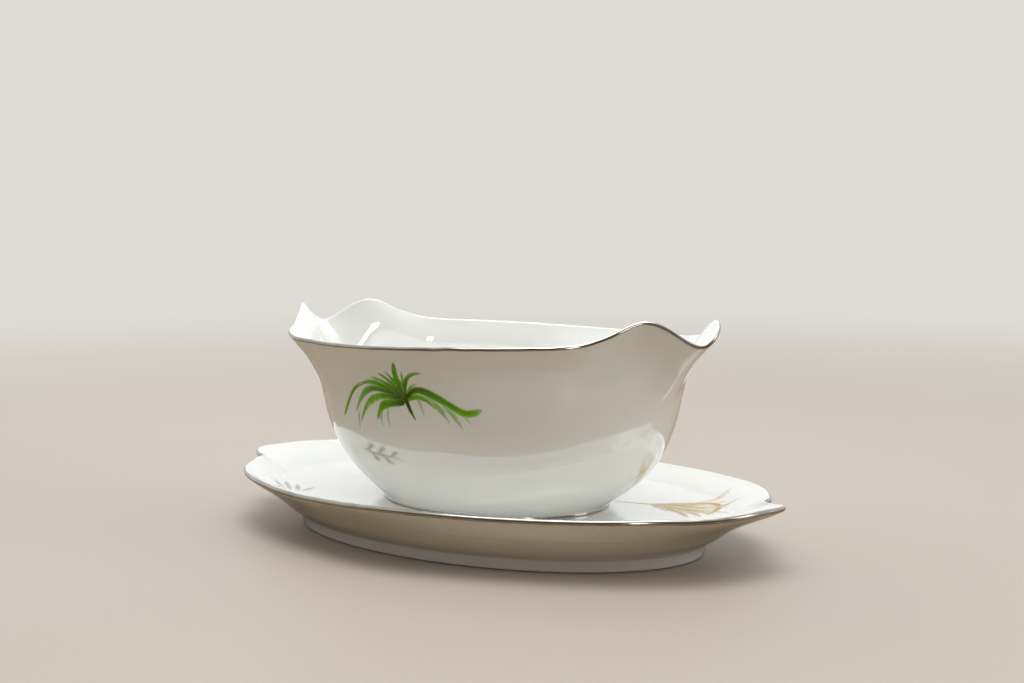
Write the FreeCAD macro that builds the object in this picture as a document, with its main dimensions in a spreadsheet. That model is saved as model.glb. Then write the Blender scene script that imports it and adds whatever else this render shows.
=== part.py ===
# Gravy boat on a leaf-shaped underplate, glazed porcelain with platinum lines.
#
# Frame: +Z up, Z = 0 is the table under the underplate's foot ring, the origin is the
# centre of the oval and +X runs along the long axis. Both outlines repeat after half a
# turn about Z: each end has one swept lobe and one plain lobe, so the piece can be
# poured from either end. Lengths are in millimetres. Angles run round Z from +X and
# are in radians unless the name ends in DEG.
import FreeCAD, Part
import math
import os
import Sketcher

Vector = FreeCAD.Vector
doc = FreeCAD.newDocument("gravy_boat")

# --------------------------------------------------------------------------------------
# driving dimensions
# --------------------------------------------------------------------------------------
# alias, value, note
DIMENSIONS = [
    ("plate_length", 227.8, "underplate overall length"),
    ("plate_rim_height", 20.5, "mean height of the underplate rim"),
    ("plate_foot_length", 166.4, "foot ring outside length"),
    ("plate_foot_width", 101.0, "foot ring outside width"),
    ("plate_foot_wall", 4.2, "foot ring wall"),
    ("plate_foot_top", 4.2, "height where the underside leaves the foot ring"),
    ("plate_foot_flare", 1.0, "how far the foot ring widens up to that height"),
    ("plate_recess_height", 8.6, "underside of the well, above the table"),
    ("plate_well_height", 12.9, "floor of the well the boat stands on"),
    ("plate_well_length", 122.0, "flat floor of the well, length"),
    ("plate_well_width", 80.0, "flat floor of the well, width"),
    ("plate_rim_wall", 2.0, "underplate wall at the rim"),
    ("plate_body_wall", 3.9, "underplate wall at the foot"),
    ("boat_length", 180.3, "boat overall length at the rim"),
    ("boat_rim_height", 75.0, "mean height of the boat rim above the table"),
    ("boat_foot_length", 90.4, "boat foot outside length"),
    ("boat_foot_width", 68.2, "boat foot outside width"),
    ("boat_foot_height", 1.1, "boat foot, and the platinum line round it"),
    ("boat_foot_wall", 3.6, "boat foot ring wall"),
    ("boat_recess_depth", 1.9, "hollow inside the boat foot ring"),
    ("boat_floor_height", 18.2, "inside floor of the boat above the table"),
    ("boat_rim_wall", 1.9, "boat wall at the rim"),
    ("boat_body_wall", 3.3, "boat wall near the foot"),
    ("foot_line_wall", 0.35, "depth of the platinum line round the boat foot"),
    ("trim_drop", 0.85, "how far the platinum edge comes down from the rim"),
    ("lift_height", 120.0, "travel that takes the boat clear of the underplate"),
]
sheet = doc.addObject("Spreadsheet::Sheet", "Dimensions")
for row, (alias, value, note) in enumerate(DIMENSIONS, 1):
    sheet.set(f"A{row}", alias)
    sheet.set(f"B{row}", f"{value:g}")
    sheet.setAlias(f"B{row}", alias)
    sheet.set(f"C{row}", note)
doc.recompute()


def dim(alias):
    return float(sheet.get(alias))


# --------------------------------------------------------------------------------------
# rim outlines: radius from the centre (R) and height (Z) for half a turn, in steps of
# 2.5 deg from the notch (underplate) or the raised tip (boat); the other half repeats it
# --------------------------------------------------------------------------------------
HALF_TURN = [i / 72 for i in range(73)]

PLATE_START_DEG = 6.37
PLATE_TABLE_LENGTH = 227.8      # overall length and mean rim height the tables describe
PLATE_TABLE_HEIGHT = 20.5
PLATE_R = [
    104.52, 105.2, 104.41, 103.47, 102.32, 100.96, 99.36, 97.6, 95.64, 93.52, 91.33,
    89.19, 87.19, 85.34, 83.6, 81.91, 80.29, 78.75, 77.25, 75.79, 74.45, 73.32,
    72.42, 71.74, 71.21, 70.77, 70.42, 70.09, 69.78, 69.47, 69.16, 68.86, 68.57,
    68.31, 68.1, 67.95, 67.86, 67.84, 67.9, 68.05, 68.28, 68.59, 68.98, 69.45,
    70.04, 70.7, 71.46, 72.34, 73.34, 74.47, 75.75, 77.19, 78.78, 80.53, 82.44,
    84.5, 86.7, 89.01, 91.42, 93.9, 96.44, 99, 101.54, 103.95, 106.18, 108.18,
    109.8, 111.01, 112.26, 113.82, 114.11, 111.21, 104.52]
PLATE_Z = [
    20.12, 20, 19.67, 19.7, 19.81, 19.79, 19.71, 19.69, 19.64, 19.54, 19.45, 19.41,
    19.38, 19.34, 19.29, 19.25, 19.24, 19.22, 19.21, 19.22, 19.28, 19.39, 19.52,
    19.65, 19.8, 19.97, 20.12, 20.27, 20.4, 20.49, 20.58, 20.65, 20.69, 20.72,
    20.71, 20.71, 20.69, 20.69, 20.69, 20.67, 20.66, 20.64, 20.63, 20.61, 20.6,
    20.59, 20.59, 20.61, 20.62, 20.63, 20.64, 20.67, 20.72, 20.76, 20.8, 20.86,
    20.93, 21.01, 21.09, 21.16, 21.12, 20.96, 20.83, 20.82, 20.9, 21.03, 21.13,
    21.15, 21.12, 21.05, 20.8, 20.26, 20.12]

BOAT_START_DEG = 4.70
BOAT_TABLE_LENGTH = 180.3
BOAT_TABLE_HEIGHT = 75.0
BOAT_R = [
    87.35, 85.52, 83.63, 82.23, 81.1, 80.2, 79.59, 79.32, 79.01, 78.2, 76.76, 74.76,
    72.5, 70.33, 68.32, 66.45, 64.76, 63.32, 62.07, 61.02, 60.09, 59.28, 58.52,
    57.78, 57.02, 56.24, 55.47, 54.72, 54, 53.34, 52.77, 52.24, 51.8, 51.41, 51.07,
    50.8, 50.58, 50.44, 50.35, 50.34, 50.4, 50.54, 50.74, 51.03, 51.37, 51.77,
    52.24, 52.74, 53.31, 53.93, 54.61, 55.36, 56.19, 57.13, 58.15, 59.26, 60.44,
    61.64, 62.82, 63.93, 65, 66.14, 67.64, 69.74, 72.33, 75.31, 78.89, 83.11, 86.99,
    89.5, 90.36, 89.46, 87.35]
BOAT_Z = [
    82.86, 81.96, 81.05, 80.1, 79.04, 77.76, 76.59, 75.86, 75.34, 74.69, 74.03,
    73.57, 73.39, 73.33, 73.33, 73.25, 73.16, 73.15, 73.18, 73.22, 73.29, 73.37,
    73.46, 73.52, 73.57, 73.59, 73.61, 73.69, 73.79, 73.86, 73.92, 73.99, 74.05,
    74.15, 74.24, 74.27, 74.29, 74.37, 74.5, 74.66, 74.74, 74.74, 74.72, 74.8,
    74.89, 74.93, 74.94, 75.02, 75.11, 75.15, 75.18, 75.29, 75.38, 75.38, 75.4,
    75.57, 75.8, 76.02, 76.4, 77.09, 78.01, 79.04, 80.46, 82.23, 83.7, 83.51, 81.43,
    77.85, 75.43, 76.53, 79.53, 82.06, 82.86]

# wall profiles: share of the height risen from the foot, and the share of the way from
# the foot outline (0) to the rim outline (1) reached there
BOAT_RISE = [0, 0.06, 0.14, 0.25, 0.38, 0.52, 0.66, 0.78, 0.87, 0.94, 1]
BOAT_SPREAD = [0, 0.136, 0.3, 0.462, 0.58, 0.666, 0.73, 0.788, 0.841, 0.92, 1]
PLATE_RISE = [0, 0.2, 0.45, 0.7, 0.88, 1]
PLATE_SPREAD = [0, 0.207, 0.428, 0.692, 0.892, 1]

# plain ovals that each wall heads for before it takes on the rim outline
BOAT_BELLY_A, BOAT_BELLY_B = 83.81, 48.99                        # half length, half width
BOAT_SWIRL_SIN2, BOAT_SWIRL_COS4, BOAT_SWIRL_SIN4 = 0.17, 0.24, 1.85
PLATE_BELLY_A, PLATE_BELLY_B = 109.0, 70.0

# rises at which the rim's outline and its waves in height start to show
BOAT_OUTLINE_FROM = 0.55
BOAT_WAVES_FROM = 0.25
PLATE_RIM_FROM = 0.30

# rises of the control rings up each wall, and of the lowest ring used inside
BOAT_ROWS = [0, 0.03, 0.07, 0.12, 0.18, 0.25, 0.33, 0.41, 0.49, 0.57, 0.65, 0.72, 0.78,
             0.84, 0.89, 0.93, 0.965, 1]
BOAT_LOWEST_INSIDE = 0.12
PLATE_ROWS = [0, 0.08, 0.18, 0.3, 0.42, 0.54, 0.66, 0.77, 0.86, 0.93, 1]
PLATE_LOWEST_INSIDE = 0.5

BOAT_FLOOR_SHARE = 0.88         # flat floor of the boat as a share of its foot
THINNING_SHARE = 0.55           # upper share of the rise over which a wall thins
# half-round lip from the outer edge of the cut to the inner one:
# share of the wall inwards, share of the trim drop upwards
LIP = [(0.0, 0.0), (0.0, 0.72), (0.22, 1.12), (0.78, 1.12), (1.0, 0.72), (1.0, 0.0)]

RING_POINTS = 180
PATCHES = 12                    # faces to the turn
END_CROWDING = 0.6              # 0 spaces ring points evenly, 1 crowds them at the ends


def curve(xs, ys, x, free_ends=False):
    """Smooth curve through the table. Its two ends share one slope, as on a closed
    outline, unless free_ends lets them meet at an angle."""
    last = len(xs) - 1

    def slope(j):
        if 0 < j < last:
            h0, h1 = xs[j] - xs[j - 1], xs[j + 1] - xs[j]
            d0, d1 = (ys[j] - ys[j - 1]) / h0, (ys[j + 1] - ys[j]) / h1
            return (d0 * h1 + d1 * h0) / (h0 + h1)
        if free_ends:
            k = min(j, last - 1)
            return (ys[k + 1] - ys[k]) / (xs[k + 1] - xs[k])
        return (ys[1] - ys[0] + ys[-1] - ys[-2]) / (xs[1] - xs[0] + xs[-1] - xs[-2])

    i = max(j for j in range(last) if xs[j] <= x)
    span = xs[i + 1] - xs[i]
    u = (x - xs[i]) / span
    return ((2 * u**3 - 3 * u**2 + 1) * ys[i]
            + (u**3 - 2 * u**2 + u) * slope(i) * span
            + (3 * u**2 - 2 * u**3) * ys[i + 1]
            + (u**3 - u**2) * slope(i + 1) * span)


def oval_radius(half_length, half_width, angle):
    return half_length * half_width / math.hypot(half_width * math.cos(angle),
                                                 half_length * math.sin(angle))


def polar(radius, angle, z):
    return Vector(radius * math.cos(angle), radius * math.sin(angle), z)


def oval_ring(angles, half_length, half_width, z):
    return [polar(oval_radius(half_length, half_width, angle), angle, z)
            for angle in angles]


def ease(start, rise):
    """0 up to start, then a smooth climb to 1 at the rim."""
    x = min(1.0, max(0.0, (rise - start) / (1 - start)))
    return x**3 * (x * (6 * x - 15) + 10)


def half_turn_share(angle, start_deg):
    return ((angle - math.radians(start_deg)) / math.pi) % 1.0


def mix(low, high, share):
    return low * (1 - share) + high * share


# --------------------------------------------------------------------------------------
# outsides of the two walls, as points at an angle and a rise from foot (0) to rim (1)
# --------------------------------------------------------------------------------------
boat_scale = dim("boat_length") / BOAT_TABLE_LENGTH
boat_base = dim("plate_well_height") + dim("boat_foot_height")
boat_top = dim("boat_rim_height")
boat_foot_a, boat_foot_b = dim("boat_foot_length") / 2, dim("boat_foot_width") / 2

plate_scale = dim("plate_length") / PLATE_TABLE_LENGTH
plate_base = dim("plate_foot_top")
plate_top = dim("plate_rim_height")
plate_flare = dim("plate_foot_flare")
plate_foot_a, plate_foot_b = dim("plate_foot_length") / 2, dim("plate_foot_width") / 2


def boat_outer(angle, rise):
    share = half_turn_share(angle, BOAT_START_DEG)
    rim_radius = curve(HALF_TURN, BOAT_R, share) * boat_scale
    rim_z = curve(HALF_TURN, BOAT_Z, share) - BOAT_TABLE_HEIGHT + boat_top
    belly = (oval_radius(BOAT_BELLY_A, BOAT_BELLY_B, angle)
             + BOAT_SWIRL_SIN2 * math.sin(2 * angle)
             + BOAT_SWIRL_COS4 * math.cos(4 * angle)
             + BOAT_SWIRL_SIN4 * math.sin(4 * angle)) * boat_scale
    top_radius = mix(belly, rim_radius, ease(BOAT_OUTLINE_FROM, rise))
    top_z = mix(boat_top, rim_z, ease(BOAT_WAVES_FROM, rise))
    spread = curve(BOAT_RISE, BOAT_SPREAD, rise, free_ends=True)
    radius = mix(oval_radius(boat_foot_a, boat_foot_b, angle), top_radius, spread)
    return polar(radius, angle, boat_base + (top_z - boat_base) * rise)


def plate_outer(angle, rise):
    share = half_turn_share(angle, PLATE_START_DEG)
    rim_radius = curve(HALF_TURN, PLATE_R, share, free_ends=True) * plate_scale
    rim_z = (curve(HALF_TURN, PLATE_Z, share, free_ends=True)
             - PLATE_TABLE_HEIGHT + plate_top)
    belly = oval_radius(PLATE_BELLY_A, PLATE_BELLY_B, angle) * plate_scale
    rim_share = ease(PLATE_RIM_FROM, rise)
    top_radius = mix(belly, rim_radius, rim_share)
    top_z = mix(plate_top, rim_z, rim_share)
    spread = curve(PLATE_RISE, PLATE_SPREAD, rise, free_ends=True)
    foot = oval_radius(plate_foot_a + plate_flare, plate_foot_b + plate_flare, angle)
    return polar(mix(foot, top_radius, spread), angle,
                 plate_base + (top_z - plate_base) * rise)


def wall_directions(outer, angle, rise):
    """Outward unit normal and the unit direction up the wall."""
    nudge = 1e-3
    up = outer(angle, min(1.0, rise + nudge)) - outer(angle, max(0.0, rise - nudge))
    along = outer(angle + nudge, rise) - outer(angle - nudge, rise)
    outward = along.cross(up)
    outward.normalize()
    up.normalize()
    return outward, up


def ring_angles(start_deg):
    """Angles for one full turn, closer together at the two ends of the oval."""
    angles = []
    for i in range(RING_POINTS):
        half_turns = 2.0 * i / RING_POINTS
        whole = math.floor(half_turns)
        part = half_turns - whole
        part -= END_CROWDING * math.sin(2 * math.pi * part) / (2 * math.pi)
        angles.append(math.radians(start_deg) + math.pi * (whole + part))
    return angles


# --------------------------------------------------------------------------------------
# closed skins from rings of control points
# --------------------------------------------------------------------------------------
def patch_ends(count):
    return [(count * k / PATCHES, count * (k + 1) / PATCHES) for k in range(PATCHES)]


def ring_knots(count):
    return [float(k) for k in range(count + 1)]


def skin(rings):
    """Faces over rings of control points, closed round the turn and open up the wall."""
    count = len(rings[0])
    degree = min(3, len(rings) - 1)
    spans = len(rings) - degree
    surface = Part.BSplineSurface()
    surface.buildFromPolesMultsKnots(
        [list(column) for column in zip(*rings)],
        [1] * (count + 1), [degree + 1] + [1] * (spans - 1) + [degree + 1],
        ring_knots(count), [float(k) for k in range(spans + 1)],
        True, False, 3, degree)
    faces = []
    for start, end in patch_ends(count):
        patch = surface.copy()
        patch.segment(start, end, 0.0, float(spans))
        faces.append(patch.toShape())
    return faces


def disc(ring):
    """Flat face inside a ring whose points share one height."""
    count = len(ring)
    outline = Part.BSplineCurve()
    outline.buildFromPolesMultsKnots(ring, [1] * (count + 1), ring_knots(count), True, 3)
    edges = [outline.toShape(start, end) for start, end in patch_ends(count)]
    return [Part.Face(Part.Wire(edges))]


def solid(faces):
    shell = Part.Shell(faces)
    shell.sewShape()
    result = Part.Solid(shell)
    if result.Volume < 0:
        result.reverse()
    return result


def floor_blend(lowest, above, floor):
    """Three rings that round the foot of the inside wall into the flat floor."""
    rings = [[], [], []]
    for wall_point, above_point, floor_point in zip(lowest, above, floor):
        floor_z = floor_point.z
        height = wall_point.z - floor_z
        down = wall_point - above_point
        # the corner is where the wall, carried on, meets the floor; a shallow wall is
        # carried on by no more than three ring steps
        corner = wall_point + down * min(height / max(1e-6, -down.z), 3.0)
        corner.z = floor_z
        near_wall = wall_point + (corner - wall_point) * 0.55
        near_wall.z = max(near_wall.z, floor_z + 0.15 * height)
        rings[0].append(near_wall)
        rings[1].append(floor_point + (corner - floor_point) * 0.55)
        rings[2].append(floor_point + (corner - floor_point) * 0.2)
    return rings


def make_vessel(outer, angles, rows, lowest_inside, rim_wall, body_wall, floor,
                foot_rings=()):
    """Porcelain solid (an open vessel) and the solid of its platinum edge."""
    drop = dim("trim_drop")
    # the cut under the platinum edge lies one trim drop below the rim, along the wall
    cut_rises = [1.0 - 0.01 * drop / (outer(angle, 1.0) - outer(angle, 0.99)).Length
                 for angle in angles]
    stations = list(zip(angles, cut_rises))
    outside = [[outer(angle, row * cut) for angle, cut in stations] for row in rows]
    directions = [wall_directions(outer, angle, cut) for angle, cut in stations]
    edge = [[point - outward * (rim_wall * inwards) + up * (drop * upwards)
             for point, (outward, up) in zip(outside[-1], directions)]
            for inwards, upwards in LIP]

    # inside of the wall, from the rim down: the outside moved in by the wall
    inside = [edge[-1]]
    for row in reversed(rows[:-1]):
        if row < lowest_inside:
            break
        wall = rim_wall + (body_wall - rim_wall) * min(1.0, (1 - row) / THINNING_SHARE)
        inside.append([
            outer(angle, row * cut) - wall_directions(outer, angle, row * cut)[0] * wall
            for angle, cut in stations])
    inside += floor_blend(inside[-1], inside[-2], floor) + [floor]

    outside = list(foot_rings) + outside
    cut_rings = [edge[0], edge[-1]]
    body = solid(skin(outside) + skin(cut_rings) + skin(inside)
                 + disc(floor) + disc(outside[0]))
    trim = solid(skin(edge) + skin(cut_rings))
    return body, trim


# --------------------------------------------------------------------------------------
# document objects
# --------------------------------------------------------------------------------------
FOOT_OVERLAP = 0.6              # how far the boat's foot runs up into the bowl
PLATE_HOLLOW_START = 5          # how far each hollow's cutter starts below its foot
BOAT_HOLLOW_START = 2
# half axes of the sketched ovals, outer then inner, before the sheet sizes them
SKETCHED_OVALS = [(40.0, 30.0), (36.0, 26.0)]


def ref(alias):
    return "<<Dimensions>>." + alias


def oval_size(foot, wall=None):
    """Length and width expressions of a foot's oval, moved in by a wall if given."""
    inset = f" - 2 * {ref(wall)}" if wall else ""
    return ref(foot + "_length") + inset, ref(foot + "_width") + inset


def feature(name, shape):
    obj = doc.addObject("Part::Feature", name)
    obj.Shape = shape
    return obj


def boolean(kind, name, base, tool):
    obj = doc.addObject("Part::" + kind, name)
    obj.Base = base
    obj.Tool = tool
    return obj


def oval_pad(name, ovals, height, z):
    """Oval disc, or a ring if there are two ovals, standing on height z; the sizes,
    the height and z are expressions on the sheet."""
    body = doc.addObject("PartDesign::Body", name)
    sketch = body.newObject("Sketcher::SketchObject", name + "_oval")
    plane = [f for f in body.Origin.OriginFeatures if f.Role == "XY_Plane"][0]
    sketch.AttachmentSupport = (plane, "")
    sketch.MapMode = "FlatFace"
    sketch.setExpression("AttachmentOffset.Base.z", f"({z}) * 1 mm")
    for k, ((length, width), (a, b)) in enumerate(zip(ovals, SKETCHED_OVALS)):
        oval = sketch.addGeometry(
            Part.Ellipse(Vector(a, 0, 0), Vector(0, b, 0), Vector(0, 0, 0)), False)
        sketch.addConstraint(Sketcher.Constraint("Coincident", oval, 3, -1, 1))
        major = sketch.GeometryCount
        minor = major + 1
        sketch.exposeInternalGeometry(oval)
        sketch.addConstraint(Sketcher.Constraint("Parallel", major, -1))
        for line, half, size, tag in ((major, a, length, "length"),
                                      (minor, b, width, "width")):
            index = sketch.addConstraint(Sketcher.Constraint("Distance", line, 2 * half))
            sketch.renameConstraint(index, f"{tag}_{k}")
            sketch.setExpression(f"Constraints.{tag}_{k}", size)
    pad = body.newObject("PartDesign::Pad", name + "_pad")
    pad.Profile = sketch
    pad.setExpression("Length", height)
    body.Tip = pad
    return body


def build_underplate():
    """Free-form dish with its foot, hollowed below so that the foot is left as a ring."""
    angles = ring_angles(PLATE_START_DEG)
    # foot rings from the table up: how far outside the foot oval, height
    foot_steps = [(-0.7, 0.0), (-0.1, 0.0), (0.0, 0.5),
                  (0.3 * plate_flare, 0.4 * plate_base),
                  (0.75 * plate_flare, 0.8 * plate_base)]
    body, edge = make_vessel(
        plate_outer, angles, PLATE_ROWS, PLATE_LOWEST_INSIDE,
        rim_wall=dim("plate_rim_wall"), body_wall=dim("plate_body_wall"),
        floor=oval_ring(angles, dim("plate_well_length") / 2,
                        dim("plate_well_width") / 2, dim("plate_well_height")),
        foot_rings=[oval_ring(angles, plate_foot_a + out, plate_foot_b + out, z)
                    for out, z in foot_steps])
    dish = feature("dish", body)
    hollow = oval_pad("foot_hollow", [oval_size("plate_foot", "plate_foot_wall")],
                      f"{ref('plate_recess_height')} + {PLATE_HOLLOW_START}",
                      f"-{PLATE_HOLLOW_START}")
    underplate = boolean("Cut", "underplate", dish, hollow)
    return underplate, feature("underplate_rim_trim", edge)


def build_boat():
    """Free-form bowl on a hollowed foot, grooved for the platinum line round the foot."""
    angles = ring_angles(BOAT_START_DEG)
    body, edge = make_vessel(
        boat_outer, angles, BOAT_ROWS, BOAT_LOWEST_INSIDE,
        rim_wall=dim("boat_rim_wall"), body_wall=dim("boat_body_wall"),
        floor=oval_ring(angles, BOAT_FLOOR_SHARE * boat_foot_a,
                        BOAT_FLOOR_SHARE * boat_foot_b, dim("boat_floor_height")))
    bowl = feature("bowl", body)
    well = ref("plate_well_height")
    foot_height = ref("boat_foot_height")
    foot = oval_pad("boat_foot", [oval_size("boat_foot")],
                    f"{foot_height} + {FOOT_OVERLAP}", well)
    hollow = oval_pad("boat_hollow", [oval_size("boat_foot", "boat_foot_wall")],
                      f"{ref('boat_recess_depth')} + {BOAT_HOLLOW_START}",
                      f"{well} - {BOAT_HOLLOW_START}")
    foot_line = oval_pad("boat_foot_line",
                         [oval_size("boat_foot"), oval_size("boat_foot", "foot_line_wall")],
                         foot_height, well)
    on_foot = boolean("Fuse", "bowl_on_foot", bowl, foot)
    hollowed = boolean("Cut", "bowl_hollowed", on_foot, hollow)
    boat = boolean("Cut", "boat", hollowed, foot_line)
    return boat, feature("boat_rim_trim", edge), foot_line


pieces = build_underplate() + build_boat()
doc.recompute()

# --------------------------------------------------------------------------------------
# checks, then one file for each piece
# --------------------------------------------------------------------------------------
for obj in doc.Objects:
    if "Invalid" in obj.State or "Error" in obj.State:
        raise RuntimeError(f"{obj.Label} failed: {obj.State}")
for piece in pieces:
    shape = piece.Shape
    if shape.isNull() or not shape.isValid():
        raise RuntimeError(f"{piece.Label} has no valid shape")
    if len(shape.Solids) != 1 or shape.Volume <= 0:
        raise RuntimeError(f"{piece.Label} should be one solid, has {len(shape.Solids)}")
os.makedirs("parts", exist_ok=True)
for piece in pieces:
    piece.Shape.exportStep(f"parts/{piece.Label}.step")
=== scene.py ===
# Gravy boat on its underplate: glazed porcelain with platinum lines and painted sprays.
# Both are centred on the Z axis with their long axes near X; the underplate's foot stands
# on z = 0 and the boat's foot in the underplate's well.
# Shapes and brush strokes are in mm; the stage, lights and camera are in metres.
import bpy
import math
import numpy as np
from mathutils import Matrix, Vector
from mathutils.bvhtree import BVHTree


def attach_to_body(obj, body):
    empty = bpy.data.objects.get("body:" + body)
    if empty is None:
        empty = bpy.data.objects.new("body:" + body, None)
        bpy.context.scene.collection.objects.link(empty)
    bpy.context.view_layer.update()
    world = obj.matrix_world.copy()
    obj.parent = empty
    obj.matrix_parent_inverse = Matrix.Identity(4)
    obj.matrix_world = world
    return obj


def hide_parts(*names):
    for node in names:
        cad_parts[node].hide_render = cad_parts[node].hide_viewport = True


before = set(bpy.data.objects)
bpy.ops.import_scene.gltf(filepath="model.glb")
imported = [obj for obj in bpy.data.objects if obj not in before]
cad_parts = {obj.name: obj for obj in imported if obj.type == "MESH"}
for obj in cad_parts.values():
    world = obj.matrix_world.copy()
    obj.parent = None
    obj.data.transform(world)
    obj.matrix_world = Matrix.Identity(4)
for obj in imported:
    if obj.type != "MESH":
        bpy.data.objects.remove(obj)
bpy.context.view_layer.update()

MM = 0.001

# ======================================================================================
# Measured outlines
# ======================================================================================
# Rims: radius and height at 73 stations, 2.5 degrees apart, over half a turn from the
# start angle (degrees). The other half turn repeats them.
STATIONS = np.linspace(0.0, 1.0, 73)
PLATE_START = 6.37
PLATE_RIM_R = np.array([
    104.52, 105.2, 104.41, 103.47, 102.32, 100.96, 99.36, 97.6, 95.64, 93.52, 91.33,
    89.19, 87.19, 85.34, 83.6, 81.91, 80.29, 78.75, 77.25, 75.79, 74.45, 73.32,
    72.42, 71.74, 71.21, 70.77, 70.42, 70.09, 69.78, 69.47, 69.16, 68.86, 68.57,
    68.31, 68.1, 67.95, 67.86, 67.84, 67.9, 68.05, 68.28, 68.59, 68.98, 69.45,
    70.04, 70.7, 71.46, 72.34, 73.34, 74.47, 75.75, 77.19, 78.78, 80.53, 82.44,
    84.5, 86.7, 89.01, 91.42, 93.9, 96.44, 99, 101.54, 103.95, 106.18, 108.18,
    109.8, 111.01, 112.26, 113.82, 114.11, 111.21, 104.52])
PLATE_RIM_Z = np.array([
    20.12, 20, 19.67, 19.7, 19.81, 19.79, 19.71, 19.69, 19.64, 19.54, 19.45, 19.41,
    19.38, 19.34, 19.29, 19.25, 19.24, 19.22, 19.21, 19.22, 19.28, 19.39, 19.52,
    19.65, 19.8, 19.97, 20.12, 20.27, 20.4, 20.49, 20.58, 20.65, 20.69, 20.72,
    20.71, 20.71, 20.69, 20.69, 20.69, 20.67, 20.66, 20.64, 20.63, 20.61, 20.6,
    20.59, 20.59, 20.61, 20.62, 20.63, 20.64, 20.67, 20.72, 20.76, 20.8, 20.86,
    20.93, 21.01, 21.09, 21.16, 21.12, 20.96, 20.83, 20.82, 20.9, 21.03, 21.13,
    21.15, 21.12, 21.05, 20.8, 20.26, 20.12])
BOAT_START = 4.70
BOAT_RIM_R = np.array([
    87.35, 85.52, 83.63, 82.23, 81.1, 80.2, 79.59, 79.32, 79.01, 78.2, 76.76, 74.76,
    72.5, 70.33, 68.32, 66.45, 64.76, 63.32, 62.07, 61.02, 60.09, 59.28, 58.52,
    57.78, 57.02, 56.24, 55.47, 54.72, 54, 53.34, 52.77, 52.24, 51.8, 51.41, 51.07,
    50.8, 50.58, 50.44, 50.35, 50.34, 50.4, 50.54, 50.74, 51.03, 51.37, 51.77,
    52.24, 52.74, 53.31, 53.93, 54.61, 55.36, 56.19, 57.13, 58.15, 59.26, 60.44,
    61.64, 62.82, 63.93, 65, 66.14, 67.64, 69.74, 72.33, 75.31, 78.89, 83.11, 86.99,
    89.5, 90.36, 89.46, 87.35])
BOAT_RIM_Z = np.array([
    82.86, 81.96, 81.05, 80.1, 79.04, 77.76, 76.59, 75.86, 75.34, 74.69, 74.03,
    73.57, 73.39, 73.33, 73.33, 73.25, 73.16, 73.15, 73.18, 73.22, 73.29, 73.37,
    73.46, 73.52, 73.57, 73.59, 73.61, 73.69, 73.79, 73.86, 73.92, 73.99, 74.05,
    74.15, 74.24, 74.27, 74.29, 74.37, 74.5, 74.66, 74.74, 74.74, 74.72, 74.8,
    74.89, 74.93, 74.94, 75.02, 75.11, 75.15, 75.18, 75.29, 75.38, 75.38, 75.4,
    75.57, 75.8, 76.02, 76.4, 77.09, 78.01, 79.04, 80.46, 82.23, 83.7, 83.51, 81.43,
    77.85, 75.43, 76.53, 79.53, 82.06, 82.86])
# Wall profiles: fraction of the height, fraction of the spread from foot to rim
BOAT_RISE = np.array([0.0, 0.06, 0.14, 0.25, 0.38, 0.52, 0.66, 0.78, 0.87, 0.94, 1.0])
BOAT_SPREAD = np.array([0, 0.136, 0.3, 0.462, 0.58, 0.666, 0.73, 0.788, 0.841, 0.92, 1])
PLATE_RISE = np.array([0.0, 0.2, 0.45, 0.7, 0.88, 1.0])
PLATE_SPREAD = np.array([0, 0.207, 0.428, 0.692, 0.892, 1])

# ======================================================================================
# Sizes; A and B are the half length and half width of an oval
# ======================================================================================
PLATE_FOOT_A, PLATE_FOOT_B = 83.2, 50.5
PLATE_FOOT_WALL = 4.2
PLATE_FLARE = 1.0                   # how far the foot flares out where the wall starts
PLATE_WALL_Z = 4.2                  # start of the wall
PLATE_TOP_A, PLATE_TOP_B = 109.0, 70.0
PLATE_TOP_Z = 20.5
PLATE_RECESS_Z, PLATE_RECESS_SAG = 8.6, 0.35
WELL_A, WELL_B, WELL_Z = 61.0, 40.0, 12.9
PLATE_RIM_WALL, PLATE_BODY_WALL = 2.0, 3.9

BOAT_FOOT_A, BOAT_FOOT_B = 45.2, 34.1
BOAT_FOOT_WALL = 3.6
BOAT_WALL_Z = WELL_Z + 1.1
BOAT_RECESS, BOAT_RECESS_SAG = 1.9, 0.25    # above the well
BELLY_A, BELLY_B = 83.81, 48.99
BELLY_SIN2, BELLY_COS4, BELLY_SIN4 = 0.17, 0.24, 1.85    # swirl added to the belly's oval
BOAT_TOP_Z, BOAT_FLOOR_Z = 75.0, 18.2
BOAT_FLOOR_SCALE = 0.88             # floor oval against the foot oval
BOAT_RIM_WALL, BOAT_BODY_WALL = 1.9, 3.3

LIP_RISE = 0.85                     # height of the rounded lip above the wall
FILM = 0.05                         # platinum above the glaze
FILM_ROOT = 0.10                    # platinum sunk below the glaze


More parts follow.
